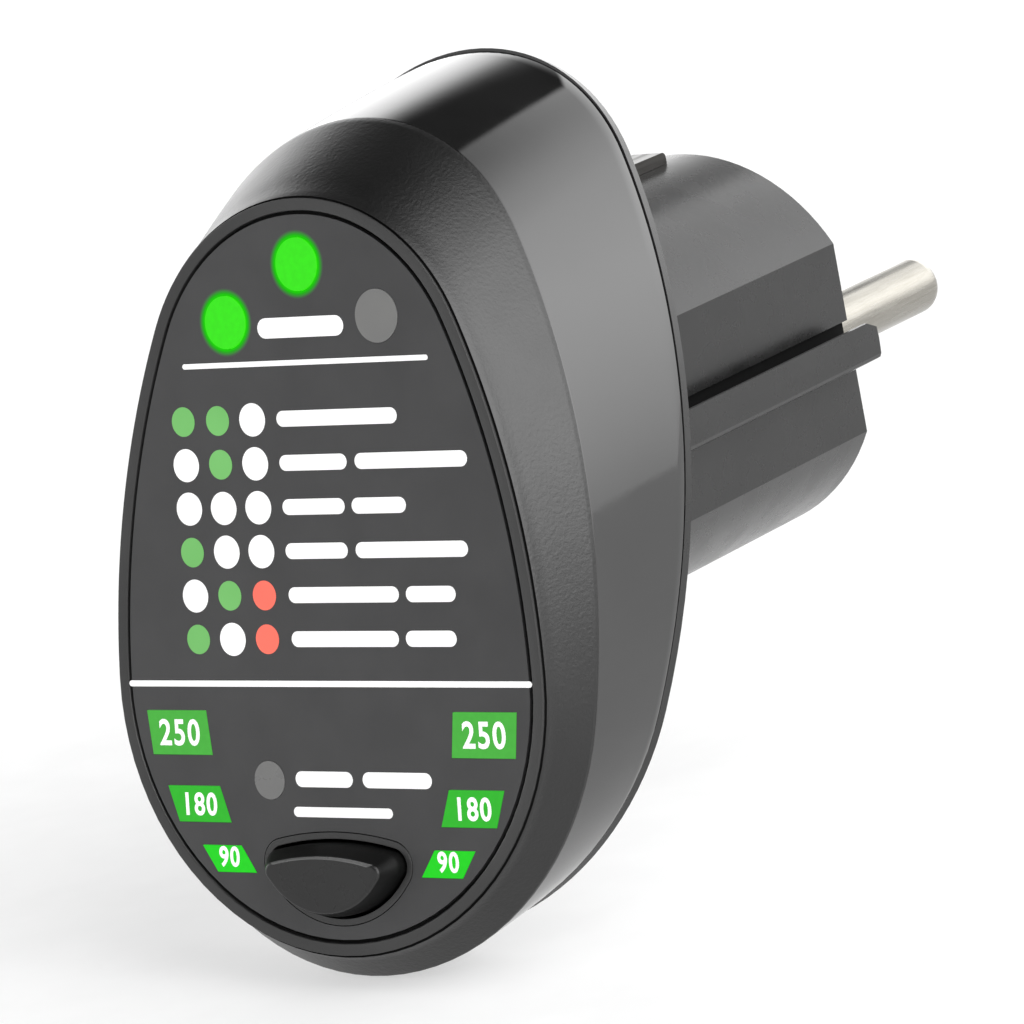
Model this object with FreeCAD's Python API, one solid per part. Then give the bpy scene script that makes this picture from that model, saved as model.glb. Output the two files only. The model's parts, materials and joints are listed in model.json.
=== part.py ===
import FreeCAD, Part
import math
import os

V = FreeCAD.Vector

# ---------------------------------------------------------------------------
# Socket tester plug.  Lengths in mm.
# Row frame: +Z up, the label faces -Y, the pins point along +Y, and the origin
# is the centre of the plug's engagement face.
# Head frame: x across, y into the head (0 at the label plane), z up the label.
# ---------------------------------------------------------------------------
HEAD_TILT = 11.44           # the head leans back from the plug axis
HEAD_ORIGIN = V(0, -54.98, 2.71)
REAR_TILT = 11.95           # the rear plate leans back a little more
REAR_Y = 18.17              # depth of the rear plane on the head's axis
RIM_EDGE = 0.8              # visible edge of the rear plate
LIP = 1.0                   # locating lip inside the shell
SEAM_Y = REAR_Y - (RIM_EDGE + 0.01) / math.cos(math.radians(REAR_TILT))
WALL = 2.0
FRONT_WALL = 2.2
LABEL_RECESS = 0.6
LABEL_GAP = 0.3

# egg outlines: top, top radius, bottom, bottom radius, flank radius
EGG_GROOVE = (22.28, 15.47, -35.32, 20.42, 70.52)
EGG_BEZEL = (23.26, 16.45, -36.3, 21.4, 71.5)
EGG_CREASE = (29.16, 17.7, -38.5, 22.7, 66.7)
EGG_RIM = (34.8, 17.9, -37.04, 22.9, 64.0)
CREASE_Y = 6.16
CREASE_TILT = 4.35

# plug
PLUG_R = 16.6
FLAT_X = 14.46
RIB_X = 17.36
RIB_TOP = 1.48
RIB_FOOT = -2.78
SLOT_X0 = 13.9
SLOT_X1 = 16.95
SLOT_FLOOR = 0.1
PLUG_WALL = 2.3
END_WALL = 4.0
PIN_R = 2.4
PIN_LEN = 19.0
PIN_PITCH = 19.0
PIN_TIP = 1.6
PIN_NECK_R = 2.2            # the root inside the end wall is a little thinner
PIN_NECK_END = 0.5
CLIP_W = 3.0
CLIP_T = 1.05
CLIP_TOP = 17.6
CLIP_LOW = 16.95
CLIP_Y0 = -24.0
CLIP_Y1 = -3.4

# label features, head frame x, z
LED_R = 2.13
LED_SPOTS = {"left": (-7.65, 13.8), "centre": (0.0, 18.09), "right": (7.65, 13.8)}
RCD_SPOT = (-6.38, -22.48)
RCD_R = 1.57
# level windows: x, z, half width, half height, lean
WINDOWS = {"high": (15.43, -18.75, 3.12, 1.80, 0.19),
           "mid": (13.84, -24.47, 2.72, 1.47, 0.48),
           "low": (11.09, -28.83, 2.03, 1.09, 0.71)}

# test button
BUTTON_Z = -29.6
BUTTON_PROUD = 2.2
BUTTON_TRAVEL = 0.8
BUTTON_GAP = 0.3

# electronics
PCB_Y = 7.2
PCB_T = 1.6
PCB_EGG = (24.6, 15.6, -33.0, 18.6, 66.0)
BOSSES = ((0.0, 27.2), (-11.0, -23.5), (11.0, -23.5))
BOARD_POSTS = ((-14.2, 4.0), (14.2, 4.0), (-15.0, -12.0), (15.0, -12.0))
HEAD_SCREW_R = 1.1
BOARD_SCREW_R = 0.8

os.makedirs("parts", exist_ok=True)


def save(shape, name):
    shape.exportStep("parts/" + name + ".step")


def screw_span(z):
    # where a head screw ends in its post, and where it meets the rear face
    face_y = REAR_Y + z * math.tan(math.radians(REAR_TILT))
    return max(6.0, face_y - 12.0), face_y


def to_row(shape):
    s = shape.copy()
    s.rotate(V(0, 0, 0), V(1, 0, 0), -HEAD_TILT)
    s.translate(HEAD_ORIGIN)
    return s


def inset(egg, w):
    return (egg[0] - w, egg[1] - w, egg[2] + w, egg[3] - w, egg[4] - w)


def blend(a, b, f):
    return tuple(p + (q - p) * f for p, q in zip(a, b))


def egg_wire(egg, y=0.0, tilt=0.0):
    top, r1, bottom, r2, r3 = egg
    c1 = top - r1
    c2 = bottom + r2
    a = r3 - r1
    b = r3 - r2
    sz = (c1 + c2) / 2 + (b * b - a * a) / (2 * (c1 - c2))
    sx = -math.sqrt(a * a - (sz - c1) ** 2)
    up = math.atan2(c1 - sz, -sx)
    dn = math.atan2(c2 - sz, -sx)
    mid = (up + dn) / 2

    def side(ang, sign):
        return V(sign * (sx + r3 * math.cos(ang)), 0, sz + r3 * math.sin(ang))

    arcs = [Part.Arc(side(dn, 1), side(mid, 1), side(up, 1)),
            Part.Arc(side(up, 1), V(0, 0, top), side(up, -1)),
            Part.Arc(side(up, -1), side(mid, -1), side(dn, -1)),
            Part.Arc(side(dn, -1), V(0, 0, bottom), side(dn, 1))]
    wire = Part.Wire([arc.toShape() for arc in arcs])
    wire.rotate(V(0, 0, 0), V(1, 0, 0), -tilt)
    wire.translate(V(0, y, 0))
    return wire


def egg_slab(egg, y0, y1):
    return Part.Face(egg_wire(egg, y0)).extrude(V(0, y1 - y0, 0))


def rod(r, x, z, y0, y1):
    return Part.makeCylinder(r, y1 - y0, V(x, y0, z), V(0, 1, 0))


def box(x0, x1, y0, y1, z0, z1):
    return Part.makeBox(x1 - x0, y1 - y0, z1 - z0, V(x0, y0, z0))


def fuse(shapes):
    out = shapes[0]
    if len(shapes) > 1:
        out = shapes[0].multiFuse(shapes[1:])
    return out.removeSplitter()


def band_sections(w, y_shift=0.0):
    out = []
    for f in (0.0, 0.5, 1.0):
        egg = inset(blend(EGG_CREASE, EGG_RIM, f), w)
        y = CREASE_Y + (SEAM_Y - CREASE_Y) * f
        out.append(egg_wire(egg, y + y_shift * f, CREASE_TILT + (REAR_TILT - CREASE_TILT) * f))
    return out


def leaning_window(win, y0, y1, grow=0.0, sign=1):
    x, z, w, h, lean = win
    w += grow
    h += grow
    pts = [(x - w - lean, z - h), (x + w - lean, z - h), (x + w + lean, z + h), (x - w + lean, z + h)]
    vs = [V(sign * px, y0, pz) for px, pz in pts]
    face = Part.Face(Part.makePolygon(vs + [vs[0]]))
    return face.extrude(V(0, y1 - y0, 0))


def button_wire(k, y, drop=0.0):
    # half-moon outline: arched top, round bottom, rounded shoulders; k scales it and drop lowers its top
    def p(x, z):
        return V(k * x, y, BUTTON_Z - 0.5 + k * (z + 0.5))

    arcs = [Part.Arc(p(-5.9, 1.65 - drop), p(0, 2.3 - drop), p(5.9, 1.65 - drop)),
            Part.Arc(p(5.9, 1.65 - drop), p(6.62, 0.95 - drop), p(6.3, -0.35)),
            Part.Arc(p(6.3, -0.35), p(0, -3.5), p(-6.3, -0.35)),
            Part.Arc(p(-6.3, -0.35), p(-6.62, 0.95 - drop), p(-5.9, 1.65 - drop))]
    return Part.Wire([arc.toShape() for arc in arcs])


def button_slab(grow, y0, y1):
    face = Part.Face(button_wire(1.0, y0))
    if grow:
        face = face.makeOffset2D(grow)
    return face.extrude(V(0, y1 - y0, 0))


def tube(points, r, bend):
    # a round wire: straight runs joined by tangent arcs
    edges = []
    last = points[0]
    for a, p, c in zip(points, points[1:], points[2:]):
        u = (a - p).normalize()
        w = (c - p).normalize()
        half = u.getAngle(w) / 2
        cut = min(bend / math.tan(half), 0.48 * (a - p).Length, 0.48 * (c - p).Length)
        reach = cut * math.tan(half)
        inward = (u + w).normalize()
        centre = p + inward * (reach / math.sin(half))
        p0 = p + u * cut
        p1 = p + w * cut
        edges.append(Part.makeLine(last, p0))
        edges.append(Part.Arc(p0, centre - inward * reach, p1).toShape())
        last = p1
    edges.append(Part.makeLine(last, points[-1]))
    ring = Part.Wire(Part.makeCircle(r, points[0], points[1] - points[0]))
    return Part.Wire(edges).makePipeShell([ring], True, True)


# ---------------------------------------------------------------------------
# front shell: bezel, flared face and side band in one moulding
# ---------------------------------------------------------------------------
outer_wires = [egg_wire(inset(EGG_BEZEL, 0.3), 0.0), egg_wire(EGG_BEZEL, 0.35)]
outer_wires += band_sections(0.0)
outer = Part.makeLoft(outer_wires, True, True)
inner_wires = [egg_wire(inset(EGG_BEZEL, 2.1), FRONT_WALL)] + band_sections(WALL, 1.0)
cavity = Part.makeLoft(inner_wires, True, True)
shell = outer.cut(cavity)
shell = shell.cut(egg_slab(EGG_GROOVE, -1.0, LABEL_RECESS))

rear_box = box(-60, 60, 0, 60, -80, 80)
rear_box.rotate(V(0, 0, 0), V(1, 0, 0), -REAR_TILT)
rear_box.translate(V(0, SEAM_Y - LIP - 0.1, 0))
posts = []
for x, z in BOSSES:
    posts.append(rod(2.7, x, z, FRONT_WALL - 0.4, 40))
for x, z in BOARD_POSTS:
    posts.append(rod(2.0, x, z, FRONT_WALL - 0.4, PCB_Y))
posts = [p.cut(rear_box) for p in posts]
shell = shell.multiFuse([p.common(outer) for p in posts])
cuts = []
for x, z in BOSSES:
    cuts.append(rod(HEAD_SCREW_R + 0.02, x, z, screw_span(z)[0] - 0.3, 40))
for x, z in BOARD_POSTS:
    cuts.append(rod(BOARD_SCREW_R + 0.02, x, z, FRONT_WALL + 1.2, PCB_Y + 1))
for x, z in LED_SPOTS.values():
    cuts.append(rod(LED_R, x, z, -1, FRONT_WALL + 1))
cuts.append(rod(RCD_R, RCD_SPOT[0], RCD_SPOT[1], -1, FRONT_WALL + 1))
for win in WINDOWS.values():
    for sign in (-1, 1):
        cuts.append(leaning_window(win, -1, FRONT_WALL + 1, 0.0, sign))
cuts.append(button_slab(BUTTON_GAP, -1, FRONT_WALL + 1))
shell = shell.cut(Part.makeCompound(cuts))
save(to_row(shell), "front_shell")

# label overlay, a thin film card in the recess
label = egg_slab(inset(EGG_GROOVE, LABEL_GAP), 0.05, LABEL_RECESS)
holes = [rod(LED_R, x, z, -1, 2) for x, z in LED_SPOTS.values()]
holes.append(rod(RCD_R, RCD_SPOT[0], RCD_SPOT[1], -1, 2))
for win in WINDOWS.values():
    holes += [leaning_window(win, -1, 2, 0.0, sign) for sign in (-1, 1)]
holes.append(button_slab(BUTTON_GAP + 0.3, -1, 2))
label = label.cut(Part.makeCompound(holes))
save(to_row(label), "label_panel")

# lenses and level windows, flush with the label
LENS_GAP = 0.03
for name, (x, z) in LED_SPOTS.items():
    lens = rod(LED_R - LENS_GAP, x, z, 0.02, FRONT_WALL)
    lens = lens.fuse(rod(LED_R + 0.5, x, z, FRONT_WALL, FRONT_WALL + 0.6)).removeSplitter()
    save(to_row(lens), "lens_" + name)
rcd = rod(RCD_R - LENS_GAP, RCD_SPOT[0], RCD_SPOT[1], 0.02, FRONT_WALL)
rcd = rcd.fuse(rod(RCD_R + 0.4, RCD_SPOT[0], RCD_SPOT[1], FRONT_WALL, FRONT_WALL + 0.6)).removeSplitter()
save(to_row(rcd), "lens_test")
for name, win in WINDOWS.items():
    pair = [leaning_window(win, 0.02, FRONT_WALL + 0.8, -LENS_GAP, sign) for sign in (-1, 1)]
    save(to_row(Part.makeCompound(pair)), "window_" + name)

# ---------------------------------------------------------------------------
# test button and its switch
# ---------------------------------------------------------------------------
SWITCH_TOP = 4.9
# scale, depth below the front face, and how far the sloping upper side is set back
crown = ((0.86, 0.0, 0.6), (0.93, 0.25, 0.45), (0.975, 0.7, 0.25), (1.0, 1.5, 0.0))
cap = Part.makeLoft([button_wire(k, -BUTTON_PROUD + d, drop) for k, d, drop in crown], True, True)
cap = cap.fuse(button_slab(0.0, -BUTTON_PROUD + crown[-1][1], FRONT_WALL + 0.4))
flange = button_slab(1.0, FRONT_WALL + 0.4, FRONT_WALL + 1.3)
stem = rod(1.6, 0, BUTTON_Z, FRONT_WALL + 1.3, SWITCH_TOP - 0.75)
hollow = button_slab(-1.4, -BUTTON_PROUD + 1.7, FRONT_WALL + 1.31)
core = rod(1.6, 0, BUTTON_Z, -BUTTON_PROUD + 1.6, FRONT_WALL + 1.3)
button = fuse([cap, flange]).cut(hollow)
button = fuse([button, core, stem])
save(to_row(button), "test_button")

switch = box(-3.0, 3.0, SWITCH_TOP + 0.5, PCB_Y, BUTTON_Z - 3.0, BUTTON_Z + 3.0)
switch = switch.cut(rod(1.75, 0, BUTTON_Z, SWITCH_TOP, SWITCH_TOP + 2.0))
save(to_row(switch), "switch_body")
plunger = rod(1.7, 0, BUTTON_Z, SWITCH_TOP - 0.65, SWITCH_TOP + 1.0)
save(to_row(plunger), "switch_plunger")

# ---------------------------------------------------------------------------
# circuit board and what stands on it
# ---------------------------------------------------------------------------
board = egg_slab(PCB_EGG, PCB_Y, PCB_Y + PCB_T)
for x, z in BOSSES:
    board = board.cut(rod(3.1, x, z, PCB_Y - 1, PCB_Y + PCB_T + 1))
for x, z in BOARD_POSTS:
    board = board.cut(rod(BOARD_SCREW_R + 0.25, x, z, PCB_Y - 1, PCB_Y + PCB_T + 1))
save(to_row(board), "main_board")

screws = []
for x, z in BOARD_POSTS:
    shank = rod(BOARD_SCREW_R, x, z, FRONT_WALL + 1.5, PCB_Y + PCB_T)
    head = rod(1.6, x, z, PCB_Y + PCB_T, PCB_Y + PCB_T + 1.1)
    slot_a = box(x - 1.0, x + 1.0, PCB_Y + PCB_T + 0.6, PCB_Y + PCB_T + 2, z - 0.2, z + 0.2)
    slot_b = box(x - 0.2, x + 0.2, PCB_Y + PCB_T + 0.6, PCB_Y + PCB_T + 2, z - 1.0, z + 1.0)
    screws.append(fuse([shank, head]).cut(slot_a).cut(slot_b))
save(to_row(Part.makeCompound(screws)), "board_screws")

LED_BASE = PCB_Y - 0.4


def diode_lamp(x, z, r):
    body = rod(r, x, z, FRONT_WALL + 1.0 + r, LED_BASE)
    dome = Part.makeSphere(r, V(x, FRONT_WALL + 1.0 + r, z))
    collar = rod(r + 0.35, x, z, LED_BASE - 0.9, LED_BASE)
    legs = [rod(0.25, x + s * 1.27, z, LED_BASE - 0.2, PCB_Y) for s in (-1, 1)]
    return fuse([body, dome, collar] + legs)


for name, (x, z) in LED_SPOTS.items():
    save(to_row(diode_lamp(x, z, 1.5)), "led_" + name)
save(to_row(diode_lamp(RCD_SPOT[0], RCD_SPOT[1], 1.5)), "led_test")

chips = []
for win in WINDOWS.values():
    for sign in (-1, 1):
        cx = sign * min(win[0] + 1.2, 15.0)
        chips.append(box(cx - 1.0, cx + 1.0, PCB_Y - 1.1, PCB_Y, win[1] - 0.6, win[1] + 0.6))
save(to_row(Part.makeCompound(chips)), "level_leds")

# light baffle: three short tubes tied by webs
rings = [rod(2.95, x, z, FRONT_WALL + 0.8, PCB_Y) for x, z in LED_SPOTS.values()]
webs = [box(-7.65, 7.65, PCB_Y - 3.0, PCB_Y, 13.3, 14.3), box(-0.5, 0.5, PCB_Y - 3.0, PCB_Y, 13.8, 18.1)]
baffle = fuse(rings + webs)
for x, z in LED_SPOTS.values():
    baffle = baffle.cut(rod(2.2, x, z, FRONT_WALL - 1, PCB_Y + 1))
save(to_row(baffle), "light_baffle")

BACK = PCB_Y + PCB_T


def gull_chip(x, z, w, h, pins, t):
    body = box(x - w / 2, x + w / 2, BACK + 0.1, BACK + t, z - h / 2, z + h / 2)
    legs = []
    for i in range(pins):
        px = x - w / 2 + (i + 0.5) * w / pins
        for s in (-1, 1):
            z0 = z + s * (h / 2 - 0.2)
            z1 = z + s * (h / 2 + 1.0)
            legs.append(box(px - 0.2, px + 0.2, BACK, BACK + 0.5, min(z0, z1), max(z0, z1)))
    return fuse([body] + legs)


save(to_row(gull_chip(-2.9, -21.4, 8.7, 3.9, 7, 1.5)), "controller_chip")
save(to_row(gull_chip(0.0, -13.2, 4.8, 3.9, 2, 2.2)), "bridge_rectifier")


def chip_part(x, z, w, h, t):
    return box(x - w / 2, x + w / 2, BACK, BACK + t, z - h / 2, z + h / 2)


resistors = [chip_part(-12.0 + 3.0 * i, -17.6, 1.6, 0.8, 0.5) for i in range(4)]
resistors += [chip_part(3.0 + 3.0 * i, -17.6, 1.6, 0.8, 0.5) for i in range(4)]
save(to_row(Part.makeCompound(resistors)), "chip_resistors")
ceramics = [chip_part(5.6, -20.4 - 2.0 * i, 2.0, 1.25, 0.9) for i in range(3)]
save(to_row(Part.makeCompound(ceramics)), "chip_capacitors")

film = box(-6.5, 6.5, BACK + 0.3, BACK + 7.6, 14.6, 20.4)
film = film.makeFillet(0.5, [e for e in film.Edges if e.BoundBox.YLength > 3])
film = fuse([film] + [rod(0.35, s * 5.0, 17.5, BACK, BACK + 0.6) for s in (-1, 1)])
save(to_row(film), "film_capacitor")

can = rod(2.5, 10.6, 8.6, BACK + 0.4, BACK + 6.4)
can = fuse([can] + [rod(0.25, 10.6 + s, 8.6, BACK, BACK + 0.6) for s in (-1, 1)])
save(to_row(can), "reservoir_capacitor")


def axial(x0, x1, z, r, y):
    body = Part.makeCylinder(r, x1 - x0, V(x0, y, z), V(1, 0, 0))
    lead = Part.makeCylinder(0.3, x1 - x0 + 4.0, V(x0 - 2.0, y, z), V(1, 0, 0))
    drops = [rod(0.3, x, z, BACK, y) for x in (x0 - 1.7, x1 + 1.7)]
    return fuse([body, lead] + drops)


save(to_row(axial(-12.0, -4.5, 10.4, 1.5, BACK + 1.9)), "fuse_resistor")
save(to_row(axial(-5.0, 5.0, -7.4, 1.5, BACK + 1.9)), "load_resistor")

# ---------------------------------------------------------------------------
# rear housing: rear plate and hollow plug body in one moulding
# ---------------------------------------------------------------------------
rim_wire = egg_wire(EGG_RIM, REAR_Y, REAR_TILT)
b = math.radians(REAR_TILT)
rear_normal = V(0, math.cos(b), -math.sin(b))
plate = Part.Face(rim_wire).extrude(rear_normal * (-RIM_EDGE))
lip_wire = egg_wire(inset(EGG_RIM, WALL + 1.2), REAR_Y, REAR_TILT)
lip = Part.Face(lip_wire).extrude(rear_normal * (-RIM_EDGE - LIP))
plate = fuse([plate, lip])
for x, z in BOSSES:
    plate = plate.cut(rod(HEAD_SCREW_R + 0.25, x, z, 0, 60))
plate = to_row(plate)


def plug_profile(inset_by, rib):
    r = PLUG_R - inset_by
    fx = FLAT_X - inset_by
    disc = Part.makeCylinder(r, 70, V(0, -70, 0), V(0, 1, 0))
    disc = disc.common(box(-fx, fx, -71, 1, -30, 30))
    if rib:
        for s in (-1, 1):
            pts = [(13.0, RIB_TOP), (RIB_X - 0.1, RIB_TOP), (RIB_X, -0.1), (RIB_X - 0.05, -1.4), (RIB_X - 0.2, -1.72),
                   (RIB_X - 0.5, -1.86), (14.40, RIB_FOOT), (13.0, RIB_FOOT)]
            vs = [V(s * px, -70, pz) for px, pz in pts]
            face = Part.Face(Part.makePolygon(vs + [vs[0]]))
            disc = disc.fuse(face.extrude(V(0, 70, 0)))
        disc = disc.removeSplitter()
        for s in (-1, 1):
            x0, x1 = sorted((s * SLOT_X0, s * SLOT_X1))
            disc = disc.cut(box(x0, x1, -71, 1, SLOT_FLOOR, RIB_TOP + 0.05))
            nose = [V(s * 16.0, -1.3, RIB_TOP), V(s * 16.0, 0.1, RIB_TOP - 0.65), V(s * 16.0, 0.1, RIB_TOP + 0.1)]
            nose = Part.Face(Part.makePolygon(nose + [nose[0]]))
            disc = disc.cut(nose.extrude(V(s * 2.0, 0, 0)))
    return disc


front_cut = box(-60, 60, -60, 0, -80, 80)
front_cut.rotate(V(0, 0, 0), V(1, 0, 0), -REAR_TILT)
front_cut.translate(V(0, REAR_Y - RIM_EDGE - LIP, 0))
front_cut = to_row(front_cut)
plug = plug_profile(0.0, True).cut(front_cut)
bore = plug_profile(PLUG_WALL, False)
bore = bore.cut(box(-30, 30, -END_WALL, 1, -30, 30))
rear = fuse([plate, plug]).cut(bore)

# cable side screw seats, pin holes, earth clip seats
seats = []
for x, z in BOSSES:
    plane_y = screw_span(z)[1]
    seats.append(to_row(rod(2.3, x, z, plane_y - 0.7, plane_y + 6)))
for s in (-1, 1):
    seats.append(Part.makeCylinder(PIN_NECK_R + 0.02, END_WALL + 2, V(s * PIN_PITCH / 2, -END_WALL - 1, 0), V(0, 1, 0)))
    seats.append(Part.makeCylinder(PIN_R + 0.02, 1.0, V(s * PIN_PITCH / 2, -PIN_NECK_END, 0), V(0, 1, 0)))
    z_under = (CLIP_TOP if s > 0 else CLIP_LOW) - CLIP_T
    seats.append(box(-CLIP_W / 2 - 0.05, CLIP_W / 2 + 0.05, CLIP_Y0 - 0.05, CLIP_Y1 + 0.05,
                     min(s * z_under, s * 25), max(s * z_under, s * 25)))
    seats.append(box(-CLIP_W / 2 - 0.05, CLIP_W / 2 + 0.05, CLIP_Y0 - 0.05, CLIP_Y0 + CLIP_T + 0.05,
                     min(s * 12, s * 25), max(s * 12, s * 25)))
rear = rear.cut(Part.makeCompound(seats[:3])).cut(Part.makeCompound(seats[3:]))
# screw posts for the pin retainer
RET_Y0 = -END_WALL - 1.2
for z in (-8.2, 8.2):
    post = Part.makeCylinder(2.0, -END_WALL - RET_Y0 + 0.5, V(0, RET_Y0, z), V(0, 1, 0))
    rear = rear.fuse(post)
rear = rear.removeSplitter()
for z in (-8.2, 8.2):
    rear = rear.cut(Part.makeCylinder(0.92, 4.0, V(0, RET_Y0 - 0.5, z), V(0, 1, 0)))
save(rear, "rear_housing")

head_screws = []
for x, z in BOSSES:
    start_y, plane_y = screw_span(z)
    shank = rod(HEAD_SCREW_R, x, z, start_y, plane_y - 0.7)
    head = rod(2.1, x, z, plane_y - 0.7, plane_y + 0.6)
    head = head.cut(box(x - 1.3, x + 1.3, plane_y - 0.1, plane_y + 2, z - 0.25, z + 0.25))
    head = head.cut(box(x - 0.25, x + 0.25, plane_y - 0.1, plane_y + 2, z - 1.3, z + 1.3))
    head_screws.append(shank.fuse(head).removeSplitter())
save(to_row(Part.makeCompound(head_screws)), "head_screws")

# ---------------------------------------------------------------------------
# contact pins, retainer and earth contacts (row frame)
# ---------------------------------------------------------------------------


def contact_pin(x):
    shaft = Part.makeCylinder(PIN_R, PIN_LEN - PIN_NECK_END, V(x, PIN_NECK_END, 0), V(0, 1, 0))
    end = [e for e in shaft.Edges if e.Length < 20 and e.CenterOfMass.y > PIN_LEN - 1]
    shaft = shaft.makeFillet(PIN_TIP, end)
    neck = Part.makeCylinder(PIN_NECK_R, END_WALL + PIN_NECK_END, V(x, -END_WALL, 0), V(0, 1, 0))
    collar = Part.makeCylinder(3.4, 1.2, V(x, RET_Y0, 0), V(0, 1, 0))
    collar = collar.common(box(-12.0, 12.0, -30, 0, -4, 4))
    tail = Part.makeCylinder(1.6, 8.0, V(x, RET_Y0 - 8.0, 0), V(0, 1, 0))
    cup = Part.makeCylinder(1.0, 4.0, V(x, RET_Y0 - 8.1, 0), V(0, 1, 0))
    return fuse([shaft, neck, collar, tail]).cut(cup)


save(contact_pin(PIN_PITCH / 2), "line_pin")
save(contact_pin(-PIN_PITCH / 2), "neutral_pin")

ret = Part.makeCylinder(11.0, 2.4, V(0, RET_Y0 - 2.4, 0), V(0, 1, 0))
ret = ret.fuse(box(-12.0, 12.0, RET_Y0 - 2.4, RET_Y0, -4.5, 4.5)).removeSplitter()
for s in (-1, 1):
    ret = ret.cut(Part.makeCylinder(1.8, 5, V(s * PIN_PITCH / 2, RET_Y0 - 3, 0), V(0, 1, 0)))
    ret = ret.cut(Part.makeCylinder(1.1, 5, V(0, RET_Y0 - 3, s * 8.2), V(0, 1, 0)))
save(ret, "pin_retainer")
ret_screws = []
for z in (-8.2, 8.2):
    shank = Part.makeCylinder(0.9, 5.0, V(0, RET_Y0 - 2.4, z), V(0, 1, 0))
    head = Part.makeCylinder(1.8, 1.2, V(0, RET_Y0 - 3.6, z), V(0, 1, 0))
    head = head.cut(box(-1.2, 1.2, RET_Y0 - 4, RET_Y0 - 3.0, z - 0.2, z + 0.2))
    head = head.cut(box(-0.2, 0.2, RET_Y0 - 4, RET_Y0 - 3.0, z - 1.2, z + 1.2))
    ret_screws.append(shank.fuse(head).removeSplitter())
save(Part.makeCompound(ret_screws), "retainer_screws")

LEG_IN = 9.0
for name, s, z1 in (("earth_clip_top", 1, CLIP_TOP), ("earth_clip_bottom", -1, CLIP_LOW)):
    z0 = z1 - CLIP_T
    strip = box(-CLIP_W / 2, CLIP_W / 2, CLIP_Y0, CLIP_Y1, z0, z1)
    nose = [e for e in strip.Edges if abs(e.CenterOfMass.y - CLIP_Y1) < 0.01 and e.CenterOfMass.z > z1 - 0.01]
    strip = strip.makeFillet(0.5, nose)
    leg = box(-CLIP_W / 2, CLIP_W / 2, CLIP_Y0, CLIP_Y0 + CLIP_T, LEG_IN, z0 + 0.1)
    foot = box(-CLIP_W / 2, CLIP_W / 2, CLIP_Y0 - 2.0, CLIP_Y0 + CLIP_T, LEG_IN, LEG_IN + CLIP_T)
    clip = fuse([strip, leg, foot])
    if s < 0:
        clip = clip.mirror(V(0, 0, 0), V(0, 0, 1))
    save(clip, name)
bridge = box(-1.6, 1.6, CLIP_Y0 - 2.0, CLIP_Y0 - 1.0, -LEG_IN, LEG_IN)
save(bridge, "earth_bridge")


def pad_point(x, z, lift=0.0):
    p = Part.Vertex(x, BACK + lift, z)
    return to_row(p).Point


for name, s in (("line_wire", 1), ("neutral_wire", -1)):
    pts = [V(s * PIN_PITCH / 2, RET_Y0 - 5.0, 0), V(s * PIN_PITCH / 2, -22.0, 0), V(s * 8.4, -30.0, -2.2),
           pad_point(s * 10.4, -4.2, 7.0), pad_point(s * 11.5, -5.0, 3.2), pad_point(s * 11.5, -5.0, 0.02)]
    save(tube(pts, 0.75, 3.0), name)
pts = [V(0.0, CLIP_Y0 - 2.02, -3.0), V(0.0, CLIP_Y0 - 6.0, -3.0), V(0.6, CLIP_Y0 - 10.5, -5.0),
       pad_point(2.2, -2.6, 3.2), pad_point(2.2, -2.6, 0.02)]
save(tube(pts, 0.75, 3.0), "earth_wire")
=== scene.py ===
import json
import math
import bmesh
import bpy
from mathutils import Matrix, Vector


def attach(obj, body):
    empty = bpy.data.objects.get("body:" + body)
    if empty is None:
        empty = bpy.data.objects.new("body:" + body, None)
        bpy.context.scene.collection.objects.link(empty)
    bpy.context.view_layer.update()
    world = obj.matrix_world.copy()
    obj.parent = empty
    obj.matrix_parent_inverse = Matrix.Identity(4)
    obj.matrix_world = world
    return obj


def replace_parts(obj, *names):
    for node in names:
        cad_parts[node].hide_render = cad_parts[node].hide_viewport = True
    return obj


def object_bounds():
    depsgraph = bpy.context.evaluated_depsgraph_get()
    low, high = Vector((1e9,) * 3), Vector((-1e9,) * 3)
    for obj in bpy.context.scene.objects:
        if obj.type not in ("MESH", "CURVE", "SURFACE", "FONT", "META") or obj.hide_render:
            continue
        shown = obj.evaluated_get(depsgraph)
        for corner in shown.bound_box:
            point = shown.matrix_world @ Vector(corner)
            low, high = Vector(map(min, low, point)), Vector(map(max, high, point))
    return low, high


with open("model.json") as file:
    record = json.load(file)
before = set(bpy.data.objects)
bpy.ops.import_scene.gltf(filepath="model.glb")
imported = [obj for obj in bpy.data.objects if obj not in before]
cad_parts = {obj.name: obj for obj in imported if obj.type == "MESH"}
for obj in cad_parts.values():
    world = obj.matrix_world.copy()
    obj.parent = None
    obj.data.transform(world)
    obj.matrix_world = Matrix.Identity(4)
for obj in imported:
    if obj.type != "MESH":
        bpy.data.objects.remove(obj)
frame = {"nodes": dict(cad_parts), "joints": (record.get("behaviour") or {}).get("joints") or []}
cad_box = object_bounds()
nodes = frame["nodes"]
MM = 0.001

# ---------------------------------------------------------------------------
# Head frame, in mm: u across, d into the head (0 at the label plane), v up the label.
# The button slides along d, so the joint's axis gives the head's lean.
# ---------------------------------------------------------------------------
ORIGIN = Vector((0.0, -54.98, 2.71)) * MM
DEPTH = Vector(next(j for j in frame["joints"] if j["name"] == "button_press")["axis"]).normalized()
ACROSS = Vector((1.0, 0.0, 0.0))
UP = ACROSS.cross(DEPTH)

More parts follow.
